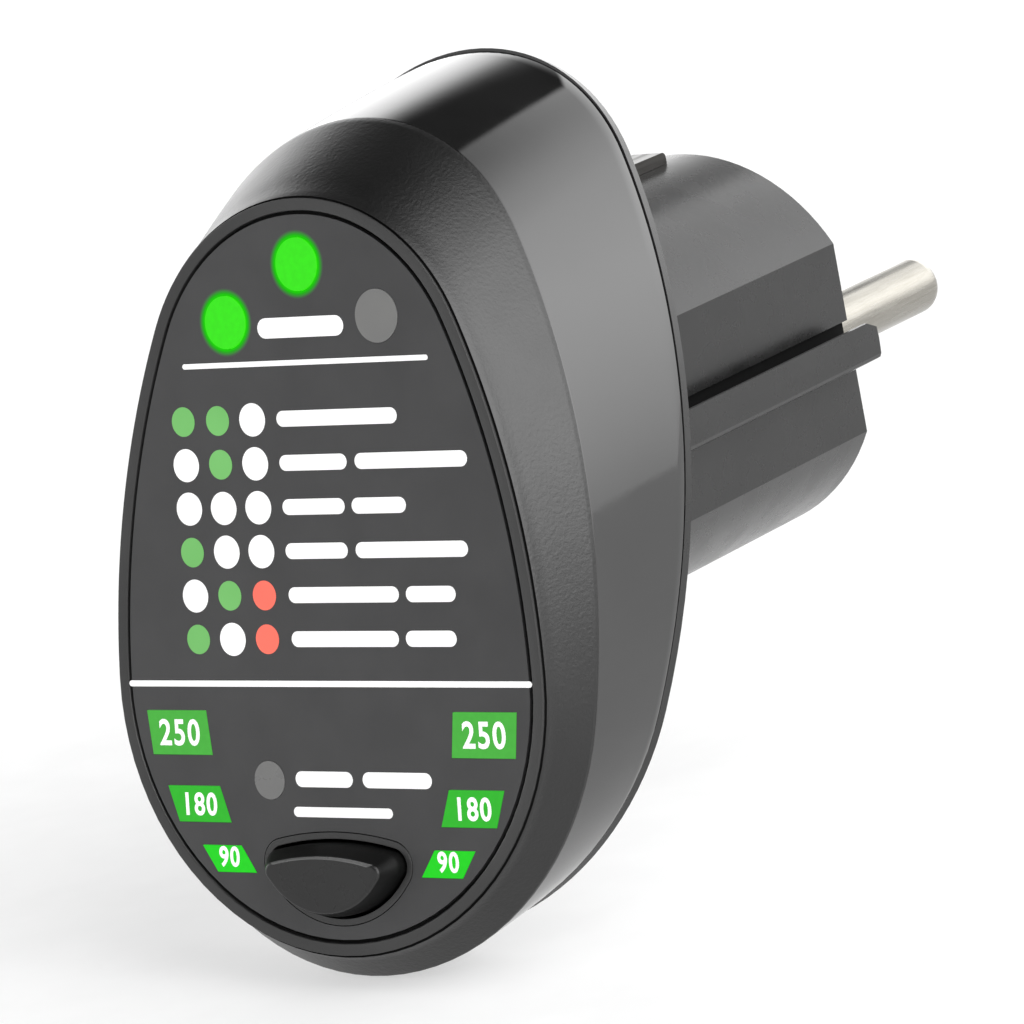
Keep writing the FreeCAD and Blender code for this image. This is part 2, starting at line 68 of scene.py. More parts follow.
# egg outlines: top, top radius, bottom, bottom radius, flank radius
GROOVE = (22.28, 15.47, -35.32, 20.42, 70.52)
BEZEL = (23.26, 16.45, -36.3, 21.4, 71.5)
CREASE = (29.16, 17.7, -38.5, 22.7, 66.7)
RIM = (34.8, 17.9, -37.04, 22.9, 64.0)
BEZEL_DEPTH = 0.35
CREASE_DEPTH, CREASE_TILT = 6.16, 4.35
RIM_DEPTH, RIM_TILT = 18.17, 11.95
RIM_EDGE = 0.8
LABEL_DEPTH = 0.05
RECESS = 0.6
LABEL_GAP = 0.3
WALL = 2.0
FRONT_WALL = 2.2
HAIR = 0.01  # gap that keeps two faces from lying in one plane

# slots beside the plug's ribs, where shade is painted: distance from the middle, and height
SLOT_SHADE_X = (13.7, 16.97)
SLOT_SHADE_Z = (-0.1, 1.35)

# lenses and windows: middles in the label plane; a window also has half its width,
# half its height, and how far its top leans out from its middle
LENSES = {"left": (-7.65, 13.8), "centre": (0.0, 18.09), "right": (7.65, 13.8)}
LENS_R = 2.13
TEST_LENS = (-6.38, -22.48)
TEST_LENS_R = 1.57
WINDOWS = {"high": (15.43, -18.75, 3.12, 1.80, 0.19),
           "mid": (13.84, -24.47, 2.72, 1.47, 0.48),
           "low": (11.09, -28.83, 2.03, 1.09, 0.71)}

# button: the height its outline is drawn from, how far beyond that outline the opening,
# the collar and the label's hole reach, and the points on its top, each shoulder and foot
BUTTON_V = -29.6
OPENING_GAP = 0.3
COLLAR_GAP = 0.74
LABEL_HOLE_GAP = 0.86
BUTTON_TOP_STEPS, BUTTON_SIDE_STEPS, BUTTON_FOOT_STEPS = 24, 10, 32

# print: the chart with its first dot, spacing and dot sizes, the height of a word's bar
# and the thickness of the ink
CHART = ("ggw", "wgw", "www", "gww", "wgr", "gwr")
CHART_U, CHART_V = -12.75, 6.07
CHART_PITCH_U, CHART_PITCH_V = 3.58, 3.47
DOT_R = {"g": 1.18, "w": 1.32, "r": 1.18}
WORD_HEIGHT = 1.25
INK_THICKNESS = 0.02


def head(u, d, v):
    return ORIGIN + (ACROSS * u + DEPTH * d + UP * v) * MM


HEAD_MATRIX = Matrix((ACROSS, UP, -DEPTH)).transposed().to_4x4()
HEAD_MATRIX.translation = ORIGIN


# ---------------------------------------------------------------------------
# outlines, in label coordinates
# ---------------------------------------------------------------------------
def egg_points(egg, per_arc=40):
    """Outline of four tangent arcs, the same number of points on each."""
    top, r_top, bottom, r_bottom, r_flank = egg
    c_top = top - r_top
    c_bottom = bottom + r_bottom
    a = r_flank - r_top
    b = r_flank - r_bottom
    flank_v = (c_top + c_bottom) / 2 + (b * b - a * a) / (2 * (c_top - c_bottom))
    flank_u = -math.sqrt(a * a - (flank_v - c_top) ** 2)
    high = math.atan2(c_top - flank_v, -flank_u)
    low = math.atan2(c_bottom - flank_v, -flank_u)
    right = [(flank_u + r_flank * math.cos(t), flank_v + r_flank * math.sin(t))
             for t in (low + (high - low) * i / per_arc for i in range(per_arc))]
    over = [(r_top * math.cos(t), c_top + r_top * math.sin(t))
            for t in (high + (math.pi - 2 * high) * i / per_arc for i in range(per_arc))]
    left = [(-u, v) for u, v in reversed(right[1:] + [over[0]])]
    under = [(r_bottom * math.cos(t), c_bottom + r_bottom * math.sin(t))
             for t in (math.pi - low + (math.pi + 2 * low) * i / per_arc for i in range(per_arc))]
    return right + over + left + under


def inset(egg, w):
    top, r_top, bottom, r_bottom, r_flank = egg
    return (top - w, r_top - w, bottom + w, r_bottom - w, r_flank - w)


def mix(a, b, f):
    return tuple(p + (q - p) * f for p, q in zip(a, b))


def circle(u, v, r, count=64):
    return [(u + r * math.cos(t), v + r * math.sin(t))
            for t in (2 * math.pi * i / count for i in range(count))]


def pill(u0, u1, v, h, count=10):
    """A bar with round ends, from u0 to u1."""
    r = h / 2
    right = [(u1 - r + r * math.cos(t), v + r * math.sin(t))
             for t in (-math.pi / 2 + math.pi * i / count for i in range(count + 1))]
    left = [(u0 + r - r * math.cos(t), v - r * math.sin(t))
            for t in (-math.pi / 2 + math.pi * i / count for i in range(count + 1))]
    return right + left


def window_outline(win, sign):
    u, v, w, h, lean = win
    pts = [(u - w - lean, v - h), (u + w - lean, v - h), (u + w + lean, v + h), (u - w + lean, v + h)]
    return [(sign * a, b) for a, b in pts]


def arc3(p0, p1, p2, count):
    """Points from p0 up to but not including p2 on the circle through three points."""
    (x0, y0), (x1, y1), (x2, y2) = p0, p1, p2
    k = 2 * (x0 * (y1 - y2) + x1 * (y2 - y0) + x2 * (y0 - y1))
    s0, s1, s2 = x0 * x0 + y0 * y0, x1 * x1 + y1 * y1, x2 * x2 + y2 * y2
    cx = (s0 * (y1 - y2) + s1 * (y2 - y0) + s2 * (y0 - y1)) / k
    cy = (s0 * (x2 - x1) + s1 * (x0 - x2) + s2 * (x1 - x0)) / k
    r = math.hypot(x0 - cx, y0 - cy)
    t0 = math.atan2(y0 - cy, x0 - cx)
    t1 = math.atan2(y1 - cy, x1 - cx)
    t2 = math.atan2(y2 - cy, x2 - cx)
    span = (t2 - t0) % (2 * math.pi)
    if (t1 - t0) % (2 * math.pi) > span:
        span -= 2 * math.pi
    return [(cx + r * math.cos(t0 + span * i / count), cy + r * math.sin(t0 + span * i / count))
            for i in range(count)]


def button_outline(k=1.0, drop=0.0, grow=0.0):
    """Half-moon with an arched top, a round bottom and rounded shoulders.

    k scales it, drop lowers its top and grow offsets it outwards.
    """
    top = [(-5.9, 1.65 - drop), (0.0, 2.3 - drop), (5.9, 1.65 - drop)]
    bottom = [(6.3, -0.35), (0.0, -3.5), (-6.3, -0.35)]
    right = [top[2], (6.62, 0.95 - drop), bottom[0]]
    left = [bottom[2], (-6.62, 0.95 - drop), top[0]]
    pts = arc3(*top, BUTTON_TOP_STEPS) + arc3(*right, BUTTON_SIDE_STEPS)
    pts += arc3(*bottom, BUTTON_FOOT_STEPS) + arc3(*left, BUTTON_SIDE_STEPS)
    pts = [(k * x, BUTTON_V - 0.5 + k * (z + 0.5)) for x, z in pts]
    if grow:
        out = []
        n = len(pts)
        for i, (x, z) in enumerate(pts):
            (xa, za), (xb, zb) = pts[i - 1], pts[(i + 1) % n]
            length = math.hypot(xb - xa, zb - za)
            out.append((x - grow * (zb - za) / length, z + grow * (xb - xa) / length))
        pts = out
    return pts


def front_holes(button_gap):
    """Outlines of the holes for the lenses, the windows and the button."""
    holes = [circle(u, v, LENS_R) for u, v in LENSES.values()]
    holes.append(circle(*TEST_LENS, TEST_LENS_R))
    holes += [window_outline(win, sign) for win in WINDOWS.values() for sign in (-1, 1)]
    holes.append(button_outline(grow=button_gap))
    return holes


# ---------------------------------------------------------------------------
# mesh helpers
# ---------------------------------------------------------------------------
def new_object(name, mesh, materials, body="housing"):
    for mat in materials:
        mesh.materials.append(mat)
    obj = bpy.data.objects.new(name, mesh)
    bpy.context.scene.collection.objects.link(obj)
    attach(obj, body)
    return obj


def section(egg, depth, tilt):
    """One ring of the head: the egg's plane leans by tilt about the across axis."""
    c, s = math.cos(math.radians(tilt)), math.sin(math.radians(tilt))
    return [head(u, depth + v * s, v * c) for u, v in egg_points(egg)]


def bridge(bm, rings, material_of=lambda i: 0, closed=False):
    """Strips of faces from each ring to the next; material_of gives a strip's material."""
    verts = [[bm.verts.new(p) for p in ring] for ring in rings]
    pairs = list(zip(verts, verts[1:]))
    if closed:
        pairs.append((verts[-1], verts[0]))
    for i, (a, b) in enumerate(pairs):
        n = len(a)
        for k in range(n):
            face = bm.faces.new((a[k], a[(k + 1) % n], b[(k + 1) % n], b[k]))
            face.material_index = material_of(i)
            face.smooth = True
    return verts


def finish_mesh(bm, name):
    bmesh.ops.recalc_face_normals(bm, faces=bm.faces)
    mesh = bpy.data.meshes.new(name)
    bm.to_mesh(mesh)
    bm.free()
    return mesh


def curve_to_mesh(curve):
    """The curve's mesh; the curve itself is removed."""
    holder = bpy.data.objects.new(curve.name, curve)
    bpy.context.scene.collection.objects.link(holder)
    bpy.context.view_layer.update()
    mesh = bpy.data.meshes.new_from_object(holder.evaluated_get(bpy.context.evaluated_depsgraph_get()))
    bpy.data.objects.remove(holder)
    bpy.data.curves.remove(curve)
    return mesh


def flat_plate(name, outlines, d_front, d_back, round_edge=0.0):
    """A plate in the head's plane; every outline after the first is a hole. Sizes in mm."""
    curve = bpy.data.curves.new(name, "CURVE")
    curve.dimensions = "2D"
    curve.fill_mode = "BOTH"
    curve.extrude = ((d_back - d_front) / 2 - round_edge) * MM
    curve.bevel_depth = round_edge * MM
    curve.bevel_resolution = 2
    for points in outlines:
        spline = curve.splines.new("POLY")
        spline.points.add(len(points) - 1)
        for p, (u, v) in zip(spline.points, points):
            p.co = (u * MM, v * MM, 0.0, 1.0)
        spline.use_cyclic_u = True
    mesh = curve_to_mesh(curve)
    shift = Matrix.Translation(Vector((0.0, 0.0, -(d_front + d_back) / 2 * MM)))
    mesh.transform(HEAD_MATRIX @ shift)
    return mesh


# ---------------------------------------------------------------------------
# shader helpers
# ---------------------------------------------------------------------------
def math_node(tree, kind, *operands):
    """Result of a math node; each operand is a socket or a number."""
    made = tree.nodes.new("ShaderNodeMath")
    made.operation = kind
    for socket, value in zip(made.inputs, operands):
        if isinstance(value, (int, float)):
            socket.default_value = value
        else:
            tree.links.new(value, socket)
    return made.outputs["Value"]


def map_range(tree, value, start, end, low, high, smooth=False):
    """The value mapped to low at start and high at end, and clamped between them."""
    made = tree.nodes.new("ShaderNodeMapRange")
    if smooth:
        made.interpolation_type = "SMOOTHSTEP"
    for key, number in (("From Min", start), ("From Max", end), ("To Min", low), ("To Max", high)):
        made.inputs[key].default_value = number
    tree.links.new(value, made.inputs["Value"])
    return made.outputs["Result"]


def grey(value):
    return (value, value, value)


class Paint:
    """A principled material with object-space texture coordinates in metres."""

    def __init__(self, name, rough, metallic=0.0, ior=1.5):
        self.mat = bpy.data.materials.new(name)
        self.mat.use_nodes = True
        self.tree = self.mat.node_tree
        self.shader = self.tree.nodes["Principled BSDF"]
        self.place = self.tree.nodes.new("ShaderNodeTexCoord").outputs["Object"]
        self.shader.inputs["Roughness"].default_value = rough
        self.shader.inputs["Metallic"].default_value = metallic
        self.shader.inputs["IOR"].default_value = ior

    def node(self, kind, **settings):
        made = self.tree.nodes.new(kind)
        for key, value in settings.items():
            if hasattr(made, key):
                setattr(made, key, value)
            else:
                made.inputs[key.replace("_", " ")].default_value = value
        return made

    def link(self, out, into):
        self.tree.links.new(out, into)

    def stretch(self, scale):
        made = self.node("ShaderNodeMapping", Scale=scale)
        self.link(self.place, made.inputs["Vector"])
        return made.outputs["Vector"]

    def noise(self, size_mm, detail=2.0, rough=0.5, vector=None):
        made = self.node("ShaderNodeTexNoise", Scale=1000.0 / size_mm, Detail=detail, Roughness=rough)
        self.link(vector or self.place, made.inputs["Vector"])
        return made.outputs["Fac"]

    def ramp(self, fac, low, high, start=0.35, end=0.65):
        return map_range(self.tree, fac, start, end, low, high)

    def colours(self, fac, first, second):
        """Blend of two colours, each a tuple or a socket."""
        made = self.node("ShaderNodeMix", data_type="RGBA")
        self.link(fac, made.inputs["Factor"])
        for socket, value in ((made.inputs[6], first), (made.inputs[7], second)):
            if isinstance(value, tuple):
                socket.default_value = (*value, 1.0)
            else:
                self.link(value, socket)
        return made.outputs[2]

    def bump(self, fac, height_mm):
        made = self.node("ShaderNodeBump", Strength=1.0)
        made.inputs["Distance"].default_value = height_mm * MM
        self.link(fac, made.inputs["Height"])
        self.link(made.outputs["Normal"], self.shader.inputs["Normal"])

    def base(self, out):
        self.link(out, self.shader.inputs["Base Color"])

    def roughness(self, out):
        self.link(out, self.shader.inputs["Roughness"])


# ---------------------------------------------------------------------------
# kinds of material
# ---------------------------------------------------------------------------
def moulded(name, dark, light, rough, grain_mm, height_mm, spread=0.05, ior=1.5):
    """Moulded plastic: fine spark grain, slow colour drift and slightly uneven gloss."""
    p = Paint(name, rough, ior=ior)
    drift = p.noise(9.0, 3.0)
    p.base(p.colours(p.ramp(drift, 0.0, 1.0), dark, light))
    p.roughness(p.ramp(p.noise(3.0, 4.0), rough - spread, rough + spread))
    p.bump(p.noise(grain_mm, 2.0, 0.6), height_mm)
    return p.mat


def ink(name, dark, light, painted_glow):
    """Thick screen-printed ink, slightly uneven, lifted a little by a painted glow."""
    mat = moulded(name, dark, light, 0.45, 0.20, 0.004)
    shader = mat.node_tree.nodes["Principled BSDF"]
    shader.inputs["Emission Color"].default_value = (*light, 1.0)
    shader.inputs["Emission Strength"].default_value = painted_glow
    return mat


def lit(name, colour, strength):
    """A diffusing window with a lamp behind it: it glows at the label side, a little unevenly."""
    p = Paint(name, 0.35, ior=1.3)
    depth = p.node("ShaderNodeVectorMath", operation="DOT_PRODUCT")
    p.link(p.place, depth.inputs[0])
    depth.inputs[1].default_value = DEPTH
    at_label = ORIGIN.dot(DEPTH)
    fade_start, fade_end = at_label + 0.3 * MM, at_label + 0.7 * MM
    shine = p.ramp(depth.outputs["Value"], strength, 0.0, fade_start, fade_end)
    speck = p.noise(0.5, 2.0)
    p.base(p.colours(p.ramp(speck, 0.0, 1.0), tuple(c * 0.1 for c in colour), tuple(c * 0.16 for c in colour)))
    p.link(p.colours(p.ramp(p.noise(1.2, 2.0), 0.0, 1.0), tuple(c * 0.985 for c in colour), colour),
           p.shader.inputs["Emission Color"])
    p.link(shine, p.shader.inputs["Emission Strength"])
    p.bump(speck, 0.004)
    return p.mat


def metal(name, first, second, rough, grain_mm, stretch):
    """Plated metal with fine turning or drawing marks along one way."""
    p = Paint(name, rough, metallic=1.0)
    lay = p.stretch(stretch)
    fac = p.noise(grain_mm, 3.0, 0.6, lay)
    p.base(p.colours(p.ramp(fac, 0.0, 1.0, 0.3, 0.7), first, second))
    p.roughness(p.ramp(p.noise(grain_mm * 2, 3.0, 0.5, lay), rough - 0.05, rough + 0.07))
    p.bump(fac, 0.002)
    return p.mat


def label_film():
    """Printed film: dark satin with a fine grain; light from the lit lenses bleeds into it."""
    p = Paint("label_film", 0.42, ior=1.5)
    satin = p.colours(p.ramp(p.noise(6.0, 3.0), 0.0, 1.0), (0.030, 0.030, 0.031), (0.037, 0.037, 0.038))
    p.roughness(p.ramp(p.noise(2.5, 3.0), 0.38, 0.48))
    p.bump(p.noise(0.28, 2.0, 0.6), 0.008)
    halo_start, halo_end = (LENS_R - 0.1) * MM, (LENS_R + 0.62) * MM
    halos = []
    for name in ("left", "centre"):
        u, v = LENSES[name]
        away = p.node("ShaderNodeVectorMath", operation="DISTANCE")
        p.link(p.place, away.inputs[0])
        away.inputs[1].default_value = head(u, LABEL_DEPTH, v)
        halos.append(map_range(p.tree, away.outputs["Value"], halo_start, halo_end, 1.0, 0.0, smooth=True))
    halo = math_node(p.tree, "MAXIMUM", *halos)
    p.link(p.colours(halo, grey(0.0), (0.012, 0.66, 0.001)), p.shader.inputs["Emission Color"])
    p.shader.inputs["Emission Strength"].default_value = 1.0
    p.base(p.colours(halo, satin, (0.002, 0.01, 0.001)))
    p.link(p.ramp(halo, 0.5, 0.0, 0.0, 0.6), p.shader.inputs["Specular IOR Level"])
    return p.mat


def plug_plastic():
    """Satin plastic of the rear moulding, with painted shade inside the slots beside the ribs, where it is
    darker and dull.
    """
    p = Paint("plug_satin", 0.27, ior=1.5)
    split = p.node("ShaderNodeSeparateXYZ")
    p.link(p.place, split.inputs["Vector"])

    def within(value, limits):
        low, high = limits
        return math_node(p.tree, "COMPARE", value, (low + high) / 2 * MM, (high - low) / 2 * MM)

    side = math_node(p.tree, "ABSOLUTE", split.outputs["X"])
    # painted shade: the slots beside the ribs get a darker, duller paint
    slot_shade = math_node(p.tree, "MULTIPLY", within(side, SLOT_SHADE_X), within(split.outputs["Z"], SLOT_SHADE_Z))
    satin = p.colours(p.ramp(p.noise(9.0, 3.0), 0.0, 1.0), grey(0.008), grey(0.012))
    p.base(p.colours(slot_shade, satin, grey(0.006)))
    p.roughness(math_node(p.tree, "MAXIMUM", p.ramp(p.noise(3.0, 4.0), 0.24, 0.30),
                          p.ramp(slot_shade, 0.0, 0.75, 0.0, 1.0)))
    p.link(p.ramp(slot_shade, 0.5, 0.04, 0.0, 1.0), p.shader.inputs["Specular IOR Level"])
    p.bump(p.noise(0.45, 2.0, 0.6), 0.006)
    return p.mat


# ---------------------------------------------------------------------------
# materials of the visible pieces
# ---------------------------------------------------------------------------
matte = moulded("shell_matte", grey(0.004), grey(0.007), 0.36, 0.34, 0.030, 0.012, 1.52)
gloss = moulded("shell_gloss", grey(0.006), grey(0.009), 0.07, 2.5, 0.003, 0.015, 1.8)
bezel_paint = moulded("shell_bezel", grey(0.022), grey(0.028), 0.36, 0.25, 0.012)
# painted shade: a duller copy of the bezel paint for the bezel's wall, so it reads as grey as the bezel face
bezel_wall_shade = moulded("bezel_wall_shade", grey(0.040), grey(0.046), 0.60, 0.25, 0.012, ior=1.1)
inside = moulded("shell_inside", grey(0.005), grey(0.008), 0.55, 0.4, 0.010, ior=1.15)
plug_black = plug_plastic()
button_black = moulded("button_satin", grey(0.015), grey(0.019), 0.28, 0.30, 0.004, ior=1.38)
# painted highlight for the button's arched top edge
button_edge_highlight = moulded("button_edge_highlight", grey(0.105), grey(0.12), 0.30, 0.30, 0.004, ior=1.38)
# painted shade: a darker, duller copy of the button paint for its sloping sides
button_side_shade = moulded("button_side_shade", grey(0.004), grey(0.006), 0.42, 0.30, 0.004, ior=1.2)
film = label_film()
# the last number of each ink is its painted glow
ink_white = ink("ink_white", grey(0.84), grey(0.92), 0.23)
ink_green = ink("ink_green", (0.140, 0.46, 0.108), (0.165, 0.51, 0.130), 0.08)
ink_red = ink("ink_red", (0.86, 0.125, 0.085), (0.92, 0.15, 0.10), 0.16)
lens_lit = lit("lens_lit", (0.03, 0.72, 0.001), 1.0)
lens_dark = moulded("lens_dark", grey(0.150), (0.175, 0.175, 0.17), 0.32, 0.35, 0.006)
window_paint = {"high": lit("window_high", (0.060, 0.42, 0.045), 0.95),
                "mid": lit("window_mid", (0.022, 0.43, 0.018), 1.0),
                "low": lit("window_low", (0.008, 0.60, 0.008), 1.0)}
nickel = metal("pin_nickel", (0.30, 0.287, 0.255), (0.36, 0.346, 0.313), 0.24, 0.25, (1.0, 0.08, 1.0))
spring_metal = metal("clip_nickel", (0.045, 0.043, 0.041), (0.065, 0.063, 0.06), 0.34, 0.3, (1.0, 0.05, 1.0))
zinc = metal("screw_zinc", (0.42, 0.42, 0.43), (0.55, 0.55, 0.56), 0.32, 0.2, (1.0, 1.0, 1.0))

# ---------------------------------------------------------------------------
# materials of the inner pieces
# ---------------------------------------------------------------------------
hidden_plastic = moulded("inner_plastic", (0.55, 0.53, 0.48), (0.62, 0.60, 0.55), 0.5, 0.4, 0.010)
board_mask = moulded("board_mask", (0.004, 0.007, 0.005), (0.006, 0.010, 0.007), 0.30, 0.6, 0.006)
chip_black = moulded("chip_epoxy", (0.012, 0.012, 0.013), (0.020, 0.020, 0.021), 0.45, 0.15, 0.006)
tan = moulded("ceramic_tan", (0.36, 0.25, 0.14), (0.45, 0.32, 0.18), 0.40, 0.3, 0.006)
film_yellow = moulded("film_box", (0.55, 0.36, 0.03), (0.64, 0.43, 0.05), 0.35, 0.5, 0.006)
can_sleeve = moulded("can_sleeve", (0.02, 0.025, 0.05), (0.03, 0.035, 0.07), 0.30, 0.6, 0.004)
resistor_paint = moulded("resistor_body", (0.20, 0.36, 0.44), (0.25, 0.43, 0.52), 0.40, 0.3, 0.008)
epoxy = moulded("lamp_epoxy", (0.50, 0.62, 0.50), (0.58, 0.70, 0.58), 0.20, 0.8, 0.003)
baffle_black = moulded("baffle_black", grey(0.014), grey(0.020), 0.6, 0.3, 0.010)
wire_brown = moulded("wire_brown", (0.10, 0.035, 0.012), (0.14, 0.05, 0.018), 0.4, 0.5, 0.006)
wire_blue = moulded("wire_blue", (0.015, 0.05, 0.28), (0.02, 0.07, 0.36), 0.4, 0.5, 0.006)
wire_green = moulded("wire_green", (0.25, 0.42, 0.03), (0.30, 0.50, 0.05), 0.4, 0.5, 0.006)

cad_paint = {
    "rear_housing": plug_black, "line_pin": nickel, "neutral_pin": nickel,
    "earth_clip_top": spring_metal, "earth_clip_bottom": spring_metal, "earth_bridge": spring_metal,
    "head_screws": zinc, "board_screws": zinc, "retainer_screws": zinc,
    "pin_retainer": hidden_plastic, "switch_body": chip_black, "switch_plunger": hidden_plastic,
    "main_board": board_mask, "controller_chip": chip_black, "bridge_rectifier": chip_black,
    "chip_resistors": chip_black, "chip_capacitors": tan, "level_leds": epoxy,
    "film_capacitor": film_yellow, "reservoir_capacitor": can_sleeve,
    "fuse_resistor": resistor_paint, "load_resistor": resistor_paint, "light_baffle": baffle_black,
    "line_wire": wire_brown, "neutral_wire": wire_blue, "earth_wire": wire_green,
    "led_left": epoxy, "led_centre": epoxy, "led_right": epoxy, "led_test": epoxy,
    "lens_left": lens_lit, "lens_centre": lens_lit, "lens_right": lens_dark, "lens_test": lens_dark,
    "window_high": window_paint["high"], "window_mid": window_paint["mid"], "window_low": window_paint["low"],
}
for node_name, paint in cad_paint.items():
    mesh = nodes[node_name].data
    mesh.materials.clear()
    mesh.materials.append(paint)
    for polygon in mesh.polygons:
        polygon.material_index = 0


# ---------------------------------------------------------------------------
# front shell, label and button
# ---------------------------------------------------------------------------
SHELL_PAINTS = [matte, gloss, bezel_paint, inside, bezel_wall_shade]
MATTE, GLOSS, BEZEL_FACE, DARK, BEZEL_WALL_SHADE = range(len(SHELL_PAINTS))


def make_shell():
    """Bezel, textured flare and glossy side band in one closed skin, with its inner wall."""
    crease = (CREASE, CREASE_DEPTH, CREASE_TILT)
    slope = math.cos(math.radians(RIM_TILT))
    seam = (RIM, RIM_DEPTH - (RIM_EDGE + HAIR) / slope, RIM_TILT)
    bezel = (BEZEL, BEZEL_DEPTH, 0.0)
    rings = []
    paints = []

    def between(a, b, f, inward=0.0):
        return (inset(mix(a[0], b[0], f), inward), a[1] + (b[1] - a[1]) * f, a[2] + (b[2] - a[2]) * f)

    def add(sec, paint):
        """One ring; the paint is that of the strip from it to the next ring."""
        rings.append(section(*sec))
        paints.append(paint)

    def add_level(egg, steps):
        """Rings parallel to the label; each step has the inset, the depth and the paint."""
        for w, depth, paint in steps:
            add((inset(egg, w), depth, 0.0), paint)

    # recess wall, which starts inside the floor, and its rounded edge
    add_level(GROOVE, ((0.0, RECESS + 0.25, BEZEL_FACE), (0.0, 0.12, BEZEL_FACE),
                       (-0.04, 0.03, BEZEL_FACE), (-0.12, 0.0, BEZEL_FACE)))
    # outer edge of the bezel, its wall in a duller paint as painted shade, the fine groove at its foot and the
    # start of the flare
    add_level(BEZEL, ((0.065, 0.0, BEZEL_FACE), (0.04, 0.0, BEZEL_FACE),
                      (0.02, 0.02, BEZEL_WALL_SHADE), (0.02, 0.22, DARK),
                      (0.02, 0.42, DARK), (-0.14, 0.44, DARK),
                      (-0.15, 0.30, MATTE), (-0.18, 0.33, MATTE)))
    # flare, softly rounded at the crease
    for f in (0.10, 0.25, 0.40, 0.55, 0.70, 0.85, 0.965):
        add(between(bezel, crease, f), MATTE)
    add(between(bezel, crease, 0.985, 0.005), MATTE)
    add(between(crease, seam, 0.004, 0.035), MATTE)
    # side band
    for f in (0.018, 0.03, 0.08, 0.2, 0.35, 0.5, 0.65, 0.8, 0.92, 0.985):
        add(between(crease, seam, f), GLOSS)
    add(between(crease, seam, 0.995, 0.04), GLOSS)
    add(between(crease, seam, 1.0, 0.14), DARK)
    # inner wall
    for f in (1.0, 0.5, 0.08):
        add(between(crease, seam, f, WALL), DARK)
    add((inset(BEZEL, 1.8), FRONT_WALL, 0.0), DARK)
    bm = bmesh.new()
    bridge(bm, rings, lambda i: paints[i], closed=True)
    return new_object("shell_skin", finish_mesh(bm, "shell_skin"), SHELL_PAINTS)


def make_shell_floor():
    """Floor of the label recess, let into its wall, with holes for the lenses, windows and button."""
    outlines = [egg_points(inset(GROOVE, -0.3))] + front_holes(OPENING_GAP)
    mesh = flat_plate("shell_floor", outlines, RECESS + HAIR, FRONT_WALL)
    return new_object("shell_floor", mesh, [inside])


def make_collar():
    """Ring around the button's opening, with a rounded edge that just rises above the label."""
    ring = [button_outline(grow=COLLAR_GAP), button_outline(grow=OPENING_GAP)]
    mesh = flat_plate("button_collar", ring, LABEL_DEPTH - 0.03, RECESS + HAIR, 0.05)
    return new_object("button_collar", mesh, [bezel_paint])


def make_label():
    """Label card, with the same holes and a wider one for the button."""
    outlines = [egg_points(inset(GROOVE, LABEL_GAP))] + front_holes(LABEL_HOLE_GAP)
    mesh = flat_plate("label_film", outlines, LABEL_DEPTH, RECESS)
    return new_object("label_film", mesh, [film])


def make_button():
    """Crowned half-moon cap whose upper side slopes back into the opening."""
    # each step: scale of the outline, how far its top is lowered, depth
    face_steps = [(0.30, 0.6, -2.24), (0.60, 0.6, -2.24)]
    rounding_steps = [(0.80, 0.6, -2.235), (0.818, 0.60, -2.225), (0.836, 0.597, -2.20),
                      (0.852, 0.59, -2.14), (0.864, 0.58, -2.06)]
    side_steps = [(0.873, 0.567, -1.96), (0.90, 0.50, -1.78), (0.95, 0.30, -1.30),
                  (0.99, 0.06, -0.80), (1.0, 0.0, -0.6), (1.0, 0.0, 2.6)]
    side_start = len(face_steps) + len(rounding_steps)
    rings = [[head(u, d, v) for u, v in button_outline(k, drop)]
             for k, drop, d in face_steps + rounding_steps + side_steps]
    bm = bmesh.new()
    # the sloping sides and the walls take a darker, duller paint: painted shade
    verts = bridge(bm, rings, lambda i: int(i >= side_start))
    bm.faces.new(verts[0]).smooth = True
    bm.faces.new(list(reversed(verts[-1])))
    mesh = finish_mesh(bm, "button_cap")
    # the arched top edge has a painted highlight: it takes a lighter paint
    around = len(rings[0])
    for strip in range(len(face_steps), side_start):
        for k in range(BUTTON_TOP_STEPS):
            mesh.polygons[strip * around + k].material_index = 2
    return new_object("button_cap", mesh, [button_black, button_side_shade, button_edge_highlight], "button")


# ---------------------------------------------------------------------------
# print
# ---------------------------------------------------------------------------
def make_print():
    """Raised ink: two rules, the dot chart and blank bars in place of words."""
    def printed(name, outline, paint):
        mesh = flat_plate(name, [outline], LABEL_DEPTH - INK_THICKNESS, LABEL_DEPTH)
        new_object(name, mesh, [paint])

    printed("rule_top", pill(-12.43, 12.43, 10.44, 0.42), ink_white)
    printed("rule_mid", pill(-20.4, 20.4, -14.81, 0.48), ink_white)
    inks = {"g": ink_green, "w": ink_white, "r": ink_red}
    for row, line in enumerate(CHART):
        for col, key in enumerate(line):
            u, v = CHART_U + CHART_PITCH_U * col, CHART_V - CHART_PITCH_V * row
            printed("dot_%d_%d" % (row, col), circle(u, v, DOT_R[key], 40), inks[key])
    # both ends of each bar beside the chart, row by row
    words = (((-3.1, 9.0),),
             ((-3.1, 3.7), (4.5, 15.6)),
             ((-3.1, 3.2), (3.9, 9.3)),
             ((-3.1, 3.2), (4.0, 15.1)),
             ((-3.1, 8.0), (8.7, 13.6)),
             ((-3.1, 7.7), (8.4, 13.4)))
    for row, line in enumerate(words):
        for k, (u0, u1) in enumerate(line):
            bar = pill(u0, u1, CHART_V - CHART_PITCH_V * row, WORD_HEIGHT)
            printed("word_%d_%d" % (row, k), bar, ink_white)
    printed("word_title", pill(-4.4, 4.3, 13.2, 1.6), ink_white)
    printed("word_test_a", pill(-3.7, 2.1, -22.35, WORD_HEIGHT), ink_white)
    printed("word_test_b", pill(3.1, 10.0, -22.35, WORD_HEIGHT), ink_white)
    printed("word_test_c", pill(-4.1, 5.9, -24.95, 0.8), ink_white)


